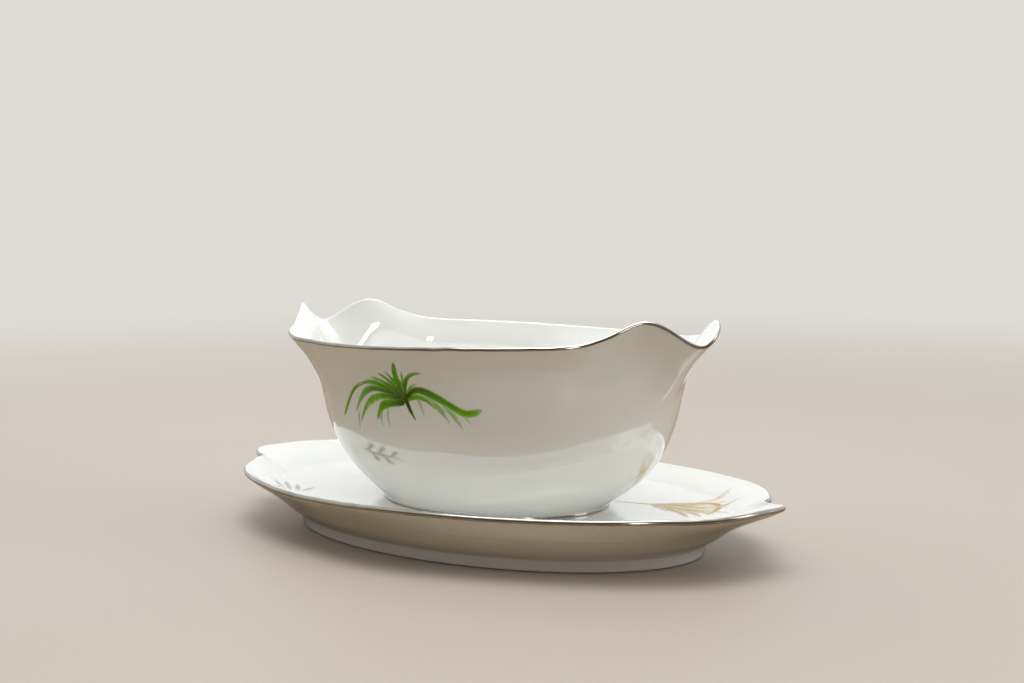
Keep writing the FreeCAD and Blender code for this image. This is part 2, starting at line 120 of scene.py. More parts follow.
# ======================================================================================
# Curves and wall surfaces
# ======================================================================================
class Spline:
    """Cubic spline with continuous curvature; periodic, or with natural ends."""

    def __init__(self, x, y, periodic=False):
        self.x, self.y = np.asarray(x, float), np.asarray(y, float)
        count = len(self.x)
        gap, slope = np.diff(self.x), np.diff(self.y) / np.diff(self.x)
        system, target = np.zeros((count, count)), np.zeros(count)
        for i in range(1, count - 1):
            system[i, i - 1:i + 2] = gap[i - 1], 2 * (gap[i - 1] + gap[i]), gap[i]
            target[i] = 6 * (slope[i] - slope[i - 1])
        if periodic:
            system[0, 0], system[0, -1] = 1, -1
            system[-1, 0], system[-1, 1] = 2 * gap[0], gap[0]
            system[-1, -2], system[-1, -1] = gap[-1], 2 * gap[-1]
            target[-1] = 6 * (slope[0] - slope[-1])
        else:
            system[0, 0] = system[-1, -1] = 1
        self.bend = np.linalg.solve(system, target)

    def __call__(self, x):
        x = np.clip(np.asarray(x, float), self.x[0], self.x[-1])
        i = np.clip(np.searchsorted(self.x, x, side="right") - 1, 0, len(self.x) - 2)
        gap = self.x[i + 1] - self.x[i]
        before, after = (self.x[i + 1] - x) / gap, (x - self.x[i]) / gap
        return (before * self.y[i] + after * self.y[i + 1]
                + ((before ** 3 - before) * self.bend[i]
                   + (after ** 3 - after) * self.bend[i + 1]) * gap * gap / 6)


boat_rim_r = Spline(STATIONS, BOAT_RIM_R, periodic=True)
boat_rim_z = Spline(STATIONS, BOAT_RIM_Z, periodic=True)
boat_spread = Spline(BOAT_RISE, BOAT_SPREAD)
plate_rim_r = Spline(STATIONS, PLATE_RIM_R)
plate_rim_z = Spline(STATIONS, PLATE_RIM_Z)
plate_spread = Spline(PLATE_RISE, PLATE_SPREAD)


def smooth_step(x):
    x = np.clip(x, 0.0, 1.0)
    return x * x * x * (x * (6 * x - 15) + 10)


def ellipse(a, b, angles):
    return a * b / np.hypot(b * np.cos(angles), a * np.sin(angles))


def station_of(angles, start):
    return np.mod((angles - math.radians(start)) / math.pi, 1.0)


def wall_point(angles, rise, spread, foot_r, foot_z, top_r, top_z):
    r = foot_r * (1 - spread) + top_r * spread
    z = foot_z + (top_z - foot_z) * rise
    return np.stack([r * np.cos(angles), r * np.sin(angles), z], -1)


def boat_outer(angles, rise):
    """Outside of the boat's wall at a fraction of its height."""
    station = station_of(angles, BOAT_START)
    belly = (ellipse(BELLY_A, BELLY_B, angles) + BELLY_SIN2 * np.sin(2 * angles)
             + BELLY_COS4 * np.cos(4 * angles) + BELLY_SIN4 * np.sin(4 * angles))
    # the rim's outline takes over from the belly's oval towards the top
    blend_r, blend_z = smooth_step((rise - 0.55) / 0.45), smooth_step((rise - 0.25) / 0.75)
    return wall_point(
        angles, rise, boat_spread(rise),
        foot_r=ellipse(BOAT_FOOT_A, BOAT_FOOT_B, angles), foot_z=BOAT_WALL_Z,
        top_r=belly * (1 - blend_r) + boat_rim_r(station) * blend_r,
        top_z=BOAT_TOP_Z * (1 - blend_z) + boat_rim_z(station) * blend_z)


def plate_outer(angles, rise):
    """Underside of the underplate's wall at a fraction of its height."""
    station = station_of(angles, PLATE_START)
    blend = smooth_step((rise - 0.30) / 0.70)
    top = ellipse(PLATE_TOP_A, PLATE_TOP_B, angles)
    return wall_point(
        angles, rise, plate_spread(rise),
        foot_r=ellipse(PLATE_FOOT_A + PLATE_FLARE, PLATE_FOOT_B + PLATE_FLARE, angles),
        foot_z=PLATE_WALL_Z,
        top_r=top * (1 - blend) + plate_rim_r(station) * blend,
        top_z=PLATE_TOP_Z * (1 - blend) + plate_rim_z(station) * blend)


def wall_axes(surface, angles, rise):
    """Outward unit normal and unit direction up the wall."""
    tiny = 1e-3
    rise = np.broadcast_to(rise, angles.shape)
    up = (surface(angles, np.minimum(1.0, rise + tiny))
          - surface(angles, np.maximum(0.0, rise - tiny)))
    along = surface(angles + tiny, rise) - surface(angles - tiny, rise)
    outward = np.cross(along, up)
    outward /= np.linalg.norm(outward, axis=-1, keepdims=True)
    return outward, up / np.linalg.norm(up, axis=-1, keepdims=True)


def angles_around(start, count):
    """Angles of a full turn, crowded together where each half turn starts."""
    turns = 2.0 * np.arange(count) / count
    whole = np.floor(turns)
    part = turns - whole
    part = part - 0.6 * np.sin(2 * math.pi * part) / (2 * math.pi)
    return math.radians(start) + math.pi * (whole + part)


def wobble(angles, seed):
    """Smooth irregularity of a hand-banded line, about -1 to 1."""
    rng = np.random.default_rng(seed)
    waves = 7
    total = np.zeros_like(angles)
    for _ in range(waves):
        total += rng.uniform(0.3, 1.0) * np.sin(rng.integers(3, 23) * angles
                                                + rng.uniform(0, 6.3))
    return total / (0.6 * waves)


# ======================================================================================
# Rings and meshes
# ======================================================================================
def oval_ring(a, b, angles, z):
    r = ellipse(a, b, angles)
    return np.stack([r * np.cos(angles), r * np.sin(angles), np.full_like(angles, z)], -1)


def arc(centre, radius, first, last, count):
    """(offset, z) points of an arc between two angles in degrees."""
    return [(centre[0] + radius * math.cos(x), centre[1] + radius * math.sin(x))
            for x in np.radians(np.linspace(first, last, count))]


def profile_rings(a, b, angles, profile, base_z=0.0):
    """Rings through (offset from the oval, z) points."""
    return [oval_ring(a + offset, b + offset, angles, base_z + z) for offset, z in profile]


def recess_rings(a, b, angles, z, sag, scales):
    """Underside of the base inside the foot ring, sagging towards its centre."""
    return [oval_ring(a * s, b * s, angles, z - sag * (1 - s * s)) for s in scales]


def shrunk(ring, scales):
    return [ring * (s, s, 1) for s in scales]


def wall_and_lip(surface, angles, rows, rim_wall, body_wall, lowest_inside):
    """Rings up the outside, over the rounded lip and down the inside; and the rim's
    middle, outward and up directions and thickness, which its platinum follows."""
    top_slice = surface(angles, np.ones_like(angles)) - surface(
        angles, np.full_like(angles, 0.99))
    rim_rise = 1.0 - 0.01 * LIP_RISE / np.linalg.norm(top_slice, axis=-1)
    rings = [surface(angles, row * rim_rise) for row in rows]
    outward, up = wall_axes(surface, angles, rim_rise)
    middle = rings[-1] - outward * rim_wall / 2
    for turn in np.linspace(0, math.pi, 15)[1:]:
        rings.append(middle + outward * (rim_wall / 2) * math.cos(turn)
                     + up * LIP_RISE * math.sin(turn))
    for row in rows[-2::-1]:
        if row < lowest_inside:
            break
        rise = row * rim_rise
        normal, _ = wall_axes(surface, angles, rise)
        # full thickness is reached 0.55 of the height below the rim
        wall = rim_wall + (body_wall - rim_wall) * min(1.0, (1 - row) / 0.55)
        rings.append(surface(angles, rise) - normal * wall)
    return rings, (middle, outward, up, rim_wall)


def floor_rings(wall, angles, a, b, z, count):
    """Rings that round the foot of the inside wall into a flat oval floor."""
    start = wall[-1]
    down = start - wall[-4]
    reach = (start[:, 2] - z) / np.maximum(1e-6, -down[:, 2])
    corner = start + down * np.minimum(reach, 3.0)[:, None]
    corner[:, 2] = z
    end = oval_ring(a, b, angles, z)
    pull_start = start + (corner - start) * 0.62
    pull_end = end + (corner - end) * 0.62
    return [(1 - u) ** 3 * start + 3 * (1 - u) ** 2 * u * pull_start
            + 3 * (1 - u) * u * u * pull_end + u ** 3 * end
            for u in np.linspace(0, 1, count + 1)[1:]]


def link(name, data):
    ob = bpy.data.objects.new(name, data)
    bpy.context.scene.collection.objects.link(ob)
    return ob


def ring_mesh(name, rings, material, centres=None):
    """Closed mesh through rings of equal length. Two centre points close the ends;
    without them the last ring joins the first."""
    size, count = len(rings[0]), len(rings)
    verts = np.concatenate(rings)
    here = np.arange(size)
    after = np.roll(here, -1)
    pairs = [(j, j + 1) for j in range(count - 1)]
    if centres is None:
        pairs.append((count - 1, 0))
    faces = []
    for j, k in pairs:
        a, b = j * size, k * size
        faces += np.stack([a + here, a + after, b + after, b + here], 1).tolist()
    if centres is not None:
        start, last = len(verts), (count - 1) * size
        faces += [[start, int(after[i]), i] for i in range(size)]
        faces += [[start + 1, last + i, last + int(after[i])] for i in range(size)]
        verts = np.concatenate([verts, np.array(centres)])
    mesh = bpy.data.meshes.new(name)
    mesh.from_pydata((verts * MM).tolist(), [], faces)
    mesh.validate()
    mesh.update()
    mesh.materials.append(material)
    mesh.polygons.foreach_set("use_smooth", np.ones(len(mesh.polygons), bool))
    return link(name, mesh)


def attach(ob, body, node):
    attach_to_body(ob, body)
    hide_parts(node)


# ======================================================================================
# Shader node helpers
# ======================================================================================
def feed(tree, node, inputs):
    """Link each input to a socket, or set it to a value; colours are given as RGB."""
    for key, value in inputs.items():
        socket = node.inputs[key]
        if isinstance(value, bpy.types.NodeSocket):
            tree.links.new(value, socket)
        elif socket.type == "RGBA":
            socket.default_value = (*value, 1)
        else:
            socket.default_value = value


def add_node(tree, kind, inputs={}, **settings):
    node = tree.nodes.new("ShaderNode" + kind)
    for name, value in settings.items():
        setattr(node, name, value)
    feed(tree, node, inputs)
    return node


def empty_tree(owner, output_kind):
    owner.use_nodes = True
    owner.node_tree.nodes.clear()
    return owner.node_tree, add_node(owner.node_tree, output_kind)


def new_material(name):
    material = bpy.data.materials.new(name)
    tree, output = empty_tree(material, "OutputMaterial")
    bsdf = add_node(tree, "BsdfPrincipled")
    return material, tree, output, bsdf


def noise(tree, place, scale, detail, roughness=0.5):
    return add_node(tree, "TexNoise", {"Scale": scale, "Detail": detail,
                                       "Roughness": roughness, "Vector": place}).outputs["Fac"]


def ramp(tree, fac, stops, interpolation="LINEAR"):
    """Colour ramp through (position, grey or RGB) stops."""
    node = add_node(tree, "ValToRGB", {"Fac": fac})
    node.color_ramp.interpolation = interpolation
    elements = node.color_ramp.elements
    while len(elements) < len(stops):
        elements.new(0.5)
    for element, (position, colour) in zip(elements, stops):
        element.position = position
        element.color = (*colour, 1) if isinstance(colour, tuple) else (*[colour] * 3, 1)
    return node.outputs["Color"]


def calc(tree, operation, a, b):
    return add_node(tree, "Math", {0: a, 1: b}, operation=operation).outputs[0]


def mix_colour(tree, fac, a, b, blend="MIX"):
    return add_node(tree, "Mix", {0: fac, 6: a, 7: b},
                    data_type="RGBA", blend_type=blend).outputs[2]


def bump(tree, height, distance, strength, **under):
    inputs = {"Distance": distance, "Strength": strength, "Height": height}
    return add_node(tree, "Bump", {**inputs, **under}).outputs[0]


# ======================================================================================
# Porcelain and platinum
# ======================================================================================
def porcelain():
    material, tree, output, bsdf = new_material("porcelain_glaze")
    coords = add_node(tree, "TexCoord")
    place = coords.outputs["Object"]
    # cool white with a faint cloudy variation
    cloud = noise(tree, place, scale=34.0, detail=4.0, roughness=0.55)
    fine = noise(tree, place, scale=260.0, detail=2.0)
    white = ramp(tree, cloud, [(0.25, (0.855, 0.870, 0.842)), (0.75, (0.885, 0.896, 0.872))])
    # sparse, faint pin-point specks
    cells = add_node(tree, "TexVoronoi", {"Scale": 240.0, "Vector": place})
    speck = ramp(tree, cells.outputs["Distance"], [(0.0, 1.0), (0.055, 0.0)])
    rare = ramp(tree, noise(tree, place, scale=70.0, detail=0.0), [(0.62, 0.0), (0.70, 1.0)])
    speck_strength = 0.35
    speckled = calc(tree, "MULTIPLY", calc(tree, "MULTIPLY", speck, rare), speck_strength)
    white = mix_colour(tree, speckled, white, (0.55, 0.50, 0.42))
    # the bottoms of the two foot rings are wiped free of glaze, to a ragged height
    plate_bare_below = 0.42 * MM
    boat_bare_below, boat_bare_above = (WELL_Z + 0.32) * MM, (WELL_Z - 0.02) * MM
    z = add_node(tree, "SeparateXYZ", {0: place}).outputs["Z"]
    ragged = calc(tree, "MULTIPLY", noise(tree, place, scale=420.0, detail=2.0), 0.18 * MM)
    ragged_z = calc(tree, "ADD", z, ragged)
    plate_bare = calc(tree, "LESS_THAN", ragged_z, plate_bare_below)
    boat_bare = calc(tree, "MULTIPLY", calc(tree, "LESS_THAN", ragged_z, boat_bare_below),
                     calc(tree, "GREATER_THAN", z, boat_bare_above))
    normal = add_node(tree, "SeparateXYZ", {0: coords.outputs["Normal"]})
    faces_down = calc(tree, "LESS_THAN", normal.outputs["Z"], -0.5)
    bare = calc(tree, "MAXIMUM", plate_bare, calc(tree, "MULTIPLY", boat_bare, faces_down))
    grit = ramp(tree, fine, [(0.3, (0.66, 0.63, 0.57)), (0.7, (0.76, 0.73, 0.67))])
    colour = mix_colour(tree, bare, white, grit)
    glaze_roughness, cloud_roughness, bare_roughness = 0.022, 0.02, 0.55
    rough = calc(tree, "ADD", calc(tree, "MULTIPLY", cloud, cloud_roughness), glaze_roughness)
    rough = calc(tree, "ADD", rough, calc(tree, "MULTIPLY", bare, bare_roughness))
    # faint waviness of a dipped glaze, with finer grain under the coat
    waves = bump(tree, noise(tree, place, scale=55.0, detail=2.0, roughness=0.4),
                 distance=0.06 * MM, strength=0.16)
    grain = bump(tree, fine, distance=0.012 * MM, strength=0.35, Normal=waves)
    feed(tree, bsdf, {
        "Base Color": colour, "Roughness": rough, "IOR": 1.52,
        "Subsurface Weight": 0.12, "Subsurface Radius": (1.0, 0.9, 0.75),
        "Subsurface Scale": 0.0025,
        "Coat Weight": 1.0, "Coat IOR": 1.75, "Coat Roughness": 0.018,
        "Normal": grain, "Coat Normal": waves})
    feed(tree, output, {"Surface": bsdf.outputs[0]})
    return material


def platinum():
    material, tree, output, bsdf = new_material("platinum_line")
    place = add_node(tree, "TexCoord").outputs["Object"]
    cloud = noise(tree, place, scale=90.0, detail=4.0, roughness=0.6)
    fine = noise(tree, place, scale=900.0, detail=2.0)
    colour = ramp(tree, cloud, [(0.3, (0.36, 0.335, 0.30)), (0.7, (0.55, 0.53, 0.49))])
    least_roughness, cloud_roughness = 0.05, 0.14
    rough = calc(tree, "ADD", calc(tree, "MULTIPLY", cloud, cloud_roughness), least_roughness)
    feed(tree, bsdf, {"Base Color": colour, "Metallic": 1.0, "Roughness": rough,
                      "Normal": bump(tree, fine, distance=0.01 * MM, strength=0.4)})
    feed(tree, output, {"Surface": bsdf.outputs[0]})
    return material


GLAZE = porcelain()
METAL = platinum()


def rim_film(name, rim, body, node, angles, seed, turn, sway):
    """Closed platinum film from just below the rim outside, over the lip to the angle
    turn (degrees), give or take sway."""
    middle, outward, up, wall = rim
    below = 0.10 + 0.06 * wobble(angles, seed)
    turns = np.radians(turn + sway * wobble(angles, seed + 1))
    steps = 4
    track = []                              # (point on the glaze, direction off it)
    for i in range(steps, 0, -1):
        drop = (below * i / steps)[:, None]
        track.append((middle + outward * wall / 2 - up * drop, outward))
    for part in np.linspace(0, 1, 17):
        angle = (turns * part)[:, None]
        off = outward * np.cos(angle) * LIP_RISE + up * np.sin(angle) * (wall / 2)
        off = off / np.linalg.norm(off, axis=-1, keepdims=True)
        track.append((middle + outward * (wall / 2) * np.cos(angle)
                      + up * LIP_RISE * np.sin(angle), off))
    skin, core = [], []
    for j, (point, off) in enumerate(track):
        # the film thins out over the last two rings at each edge
        taper = {0: 0.35, 1: 0.8}.get(min(j, len(track) - 1 - j), 1.0)
        skin.append(point + off * FILM * taper)
        core.append(point - off * FILM_ROOT)
    attach(ring_mesh(name, skin + core[::-1], METAL), body, node)


# ======================================================================================
# Boat
# ======================================================================================
def make_boat():
    angles = angles_around(BOAT_START, 480)
    rows = np.unique(np.concatenate([
        np.linspace(0, 0.2, 17), np.linspace(0.2, 0.8, 37), np.linspace(0.8, 1.0, 21)]))
    wall, rim = wall_and_lip(boat_outer, angles, rows, BOAT_RIM_WALL, BOAT_BODY_WALL,
                             lowest_inside=0.12)
    floor = floor_rings(wall, angles, BOAT_FLOOR_SCALE * BOAT_FOOT_A,
                        BOAT_FLOOR_SCALE * BOAT_FOOT_B, BOAT_FLOOR_Z, count=14)
    recess_a, recess_b = BOAT_FOOT_A - BOAT_FOOT_WALL, BOAT_FOOT_B - BOAT_FOOT_WALL
    recess_z = WELL_Z + BOAT_RECESS
    foot_inside = ([(-1.2, BOAT_RECESS)] + arc((-1.0, BOAT_RECESS - 1.0), 1.0, 90, 10, 5)
                   + [(0.05, 0.7)] + arc((0.6, 0.5), 0.5, 190, 270, 5)
                   + [(BOAT_FOOT_WALL / 2, 0.0)])
    foot_outside = arc((-0.4, 0.4), 0.4, 270, 360, 6) + [(0.0, 0.75)]
    rings = (recess_rings(recess_a, recess_b, angles, recess_z, BOAT_RECESS_SAG,
                          (0.08, 0.2, 0.35, 0.5, 0.65, 0.8, 0.9, 0.96))
             + profile_rings(recess_a, recess_b, angles, foot_inside, WELL_Z)
             + profile_rings(BOAT_FOOT_A, BOAT_FOOT_B, angles, foot_outside, WELL_Z)
             + wall + floor
             + shrunk(floor[-1], (0.9, 0.78, 0.64, 0.5, 0.36, 0.22, 0.1)))
    boat = ring_mesh("boat_glaze", rings, GLAZE,
                     [(0, 0, recess_z - BOAT_RECESS_SAG), (0, 0, BOAT_FLOOR_Z)])
    attach(boat, "boat", "boat")
    rim_film("boat_rim_platinum", rim, "boat", "boat_rim_trim", angles,
             seed=11, turn=96, sway=9)

    # platinum line round the boat's foot, with an uneven upper edge
    band = []
    for offset, z in ((-0.15, 0.16), (0.03, 0.18), (0.05, 0.30), (0.05, 0.55), (0.05, 0.80),
                      (0.04, 0.95), (-0.15, 1.00)):
        uneven = 0.07 * wobble(angles, 21) if z > 0.7 else 0.0
        band.append(oval_ring(BOAT_FOOT_A + offset, BOAT_FOOT_B + offset, angles,
                              WELL_Z + z + uneven))
    attach(ring_mesh("boat_foot_platinum", band, METAL), "boat", "boat_foot_line")
    return boat


# ======================================================================================
# Underplate
# ======================================================================================
def make_underplate():
    angles = angles_around(PLATE_START, 560)
    rows = np.unique(np.concatenate([
        np.linspace(0, 0.5, 15), np.linspace(0.5, 0.85, 12), np.linspace(0.85, 1.0, 12)]))
    wall, rim = wall_and_lip(plate_outer, angles, rows, PLATE_RIM_WALL, PLATE_BODY_WALL,
                             lowest_inside=0.50)
    floor = floor_rings(wall, angles, WELL_A, WELL_B, WELL_Z, count=12)
    recess_a, recess_b = PLATE_FOOT_A - PLATE_FOOT_WALL, PLATE_FOOT_B - PLATE_FOOT_WALL
    foot_inside = ([(-2.2, PLATE_RECESS_Z)]
                   + arc((-2.0, PLATE_RECESS_Z - 2.0), 2.0, 90, 8, 7)
                   + [(0.05, 4.0), (0.1, 2.0)] + arc((0.9, 0.8), 0.8, 190, 270, 6)
                   + [(PLATE_FOOT_WALL / 2, 0.0)])
    foot_outside = (arc((-0.7, 0.6), 0.6, 270, 350, 6)
                    + [(0.02, 1.1), (0.16, 1.8), (0.38, 2.5), (0.60, 3.1), (0.78, 3.55),
                       (0.92, 3.9)])
    rings = (recess_rings(recess_a, recess_b, angles, PLATE_RECESS_Z, PLATE_RECESS_SAG,
                          (0.05, 0.12, 0.2, 0.3, 0.4, 0.5, 0.6, 0.7, 0.8, 0.88, 0.94))
             + profile_rings(recess_a, recess_b, angles, foot_inside)
             + profile_rings(PLATE_FOOT_A, PLATE_FOOT_B, angles, foot_outside)
             + wall + floor
             + shrunk(floor[-1],
                      (0.93, 0.86, 0.78, 0.7, 0.62, 0.52, 0.42, 0.32, 0.22, 0.12, 0.05)))
    plate = ring_mesh("underplate_glaze", rings, GLAZE,
                      [(0, 0, PLATE_RECESS_Z - PLATE_RECESS_SAG), (0, 0, WELL_Z)])
    attach(plate, "underplate", "underplate")
    rim_film("underplate_rim_platinum", rim, "underplate", "underplate_rim_trim", angles,
             seed=31, turn=126, sway=10)
    return plate


boat_glaze = make_boat()
plate_glaze = make_underplate()


# ======================================================================================
# Painted sprays: thin enamel strokes lying on the glaze
# ======================================================================================
def enamel():
    material, tree, output, bsdf = new_material("enamel_paint")
    paint = add_node(tree, "Attribute", attribute_name="paint")
    place = add_node(tree, "TexCoord").outputs["Object"]
    streak = ramp(tree, noise(tree, place, scale=520.0, detail=3.0, roughness=0.6),
                  [(0.30, 0.72), (0.72, 1.12)])
    fleck = ramp(tree, noise(tree, place, scale=1700.0, detail=2.0),
                 [(0.35, 0.90), (0.65, 1.05)])
    # the streaks die away where the stroke thins out to the glaze
    thin = calc(tree, "SUBTRACT", 1.0, paint.outputs["Alpha"])
    tone = mix_colour(tree, 1.0, streak, fleck, "MULTIPLY")
    tone = mix_colour(tree, thin, tone, (1.0, 1.0, 1.0))
    colour = mix_colour(tree, 1.0, paint.outputs["Color"], tone, "MULTIPLY")
    feed(tree, bsdf, {"Base Color": colour, "Roughness": 0.12, "IOR": 1.52,
                      "Specular IOR Level": 0.22})
    feed(tree, output, {"Surface": bsdf.outputs[0]})
    return material


PAINT = enamel()
BARE = np.array([0.868, 0.882, 0.856])      # the glaze showing through
TONES = {
    "deep": (0.046, 0.100, 0.001), "leaf": (0.150, 0.440, 0.003), "fresh": (0.250, 0.610, 0.014),
    "faint": (0.400, 0.690, 0.240), "ghost": (0.620, 0.740, 0.560), "bare": tuple(BARE),
    "straw": (0.690, 0.500, 0.190), "ochre": (0.560, 0.375, 0.100), "hay": (0.780, 0.655, 0.410),
    "grey": (0.470, 0.480, 0.420), "mist": (0.660, 0.680, 0.605),
}
ACROSS = 9                  # points across a stroke
STROKE_STEP = 0.32          # spacing of the rows along a stroke
WIDTH_SCALE = 0.66          # half width of a stroke against its listed width
LEAST_HALF_WIDTH = 0.05
LIFT, LIFT_STEP = 0.012, 0.0022     # height of the first stroke, and more for each next
EDGE_LIFT = 0.006           # height of a stroke's long edges
STROKE_ROOT = 0.09          # depth of its underside below the glaze
RAY_START, RAY_LENGTH = 30.0, 80.0  # rays from above the chart plane down to the glaze


def surface_tree(ob):
    return BVHTree.FromPolygons([tuple(v.co) for v in ob.data.vertices],
                                [tuple(p.vertices) for p in ob.data.polygons])


def run_lengths(points):
    steps = np.linalg.norm(np.diff(points, axis=0), axis=1)
    return np.concatenate([[0], np.cumsum(steps)])


def brush_track(points, widths, fat, rng):
    """Evenly spaced rows along a smooth stroke: centre, sideways direction, fraction of
    the length and half width."""
    points = np.array(points, float)
    knots = run_lengths(points)
    dense = np.linspace(0, knots[-1], 400)
    curve = np.stack([Spline(knots, points[:, k])(dense) for k in (0, 1)], -1)
    travel = run_lengths(curve)
    count = max(14, int(travel[-1] / STROKE_STEP))
    even = np.linspace(0, travel[-1], count)
    path = np.stack([np.interp(even, travel, curve[:, k]) for k in (0, 1)], -1)
    tangent = np.gradient(path, axis=0)
    tangent /= np.linalg.norm(tangent, axis=1, keepdims=True)
    side = np.stack([-tangent[:, 1], tangent[:, 0]], -1)
    s = np.linspace(0, 1, count)
    first, middle, last = widths
    half = WIDTH_SCALE * fat * ((1 - s) ** 2 * first
                                + 2 * s * (1 - s) * (2 * middle - 0.5 * (first + last))
                                + s * s * last)
    half *= 1 + 0.10 * np.sin(s * rng.uniform(9, 15) + rng.uniform(0, 6))
    # rounded ends
    half *= np.sqrt(np.clip(np.minimum(s / 0.035, (1 - s) / 0.05), 0.02, 1))
    return path, side, s, np.maximum(half, LEAST_HALF_WIDTH)


def pigment(s, across, tones, light_side):
    """RGB and strength at s (0 to 1) along a stroke and across (-1 to 1) it."""
    u = s * 2
    if u < 1:
        tone = tones[0] * (1 - u) + tones[1] * u
    else:
        tone = tones[1] * (2 - u) + tones[2] * (u - 1)
    # colour runs out towards both sides and the tip, but the sides stay full near the root
    sides = max(0.0, (abs(across) - 0.55) / 0.45) ** 1.6
    tip = max(0.0, (s - 0.90) / 0.10) ** 2 * 0.5
    thin = min(1.0, (0.12 + 0.84 * min(1.0, s / 0.45)) * sides + tip)
    # one side is lighter, and the middle line a little darker
    shade = 1.0 + 0.22 * across * light_side - 0.14 * math.exp(-(across / 0.3) ** 2)
    colour = np.clip(tone * shade, 0, 1) * (1 - thin) + BARE * thin
    return (*colour, min(1.0, np.linalg.norm(colour - BARE) / 0.9))


def add_shell(base, length, faces, sharp):
    """Faces of one closed stroke, and its sharp upper edges. The upper points start at
    base and the lower ones follow them."""
    low = length * ACROSS
    for i in range(length - 1):
        row = base + i * ACROSS
        for a in range(row, row + ACROSS - 1):
            quad = (a, a + ACROSS, a + ACROSS + 1, a + 1)
            faces.append(quad[::-1])
            faces.append(tuple(v + low for v in quad))
        for a, direction in ((row, -1), (row + ACROSS - 1, 1)):
            faces.append((a, a + low, a + low + ACROSS, a + ACROSS)[::direction])
            sharp.add((a, a + ACROSS))
    for row, direction in ((base, -1), (base + low - ACROSS, 1)):
        for a in range(row, row + ACROSS - 1):
            faces.append((a, a + 1, a + 1 + low, a + low)[::direction])
            sharp.add((a, a + 1))


def paint_object(name, verts, faces, colours, sharp, body):
    mesh = bpy.data.meshes.new(name)
    mesh.from_pydata(verts.tolist(), [], faces)
    paint = mesh.attributes.new("paint", "FLOAT_COLOR", "POINT")
    paint.data.foreach_set("color", np.array(colours, np.float32).ravel())
    mesh.polygons.foreach_set("use_smooth", np.ones(len(mesh.polygons), bool))
    flags = mesh.attributes.new("sharp_edge", "BOOLEAN", "EDGE")
    flags.data.foreach_set("value", [tuple(sorted(e.vertices)) in sharp for e in mesh.edges])
    mesh.materials.append(PAINT)
    mesh.update()
    ob = link(name, mesh)
    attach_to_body(ob, body)


def spray(name, tree, body, origin, normal, right, seed, strokes, fat=1.0, far_copy=False):
    """Brush strokes drawn on a chart plane and dropped on the glaze. Each stroke is its
    points, its widths and its tones, both at start, middle and end. far_copy repeats the
    spray half a turn round Z."""
    rng = np.random.default_rng(seed)
    origin = Vector(origin) * MM
    z_axis = Vector(normal).normalized()
    x_axis = Vector(right)
    x_axis = (x_axis - z_axis * x_axis.dot(z_axis)).normalized()
    y_axis = z_axis.cross(x_axis)
    verts, faces, colours, sharp = [], [], [], set()
    for order, (points, widths, tone_names) in enumerate(strokes):
        path, side, along, half = brush_track(points, widths, fat, rng)
        tones = [np.array(TONES[tone]) for tone in tone_names.split()]
        light_side = 1 if rng.uniform(-0.25, 0.25) > 0 else -1
        upper, lower, tints = [], [], []
        for i, s in enumerate(along):
            for across in np.linspace(-1, 1, ACROSS):
                x, y = path[i] + side[i] * half[i] * across
                hit, up, _, _ = tree.ray_cast(
                    origin + x_axis * (x * MM) + y_axis * (y * MM) + z_axis * (RAY_START * MM),
                    -z_axis, RAY_LENGTH * MM)
                if hit is None:
                    raise RuntimeError("%s stroke %d leaves the surface" % (name, order))
                lift = LIFT + LIFT_STEP * order if abs(across) < 0.99 else EDGE_LIFT
                upper.append(tuple(hit + up * (lift * MM)))
                lower.append(tuple(hit - up * (STROKE_ROOT * MM)))
                tints.append(pigment(s, across, tones, light_side))
        add_shell(len(verts), len(along), faces, sharp)
        verts += upper + lower
        colours += tints * 2
    verts = np.array(verts)
    paint_object(name, verts, faces, colours, sharp, body)
    if far_copy:
        paint_object(name + "_far", verts * (-1, -1, 1), faces, colours, sharp, body)


boat_tree, plate_tree = surface_tree(boat_glaze), surface_tree(plate_glaze)

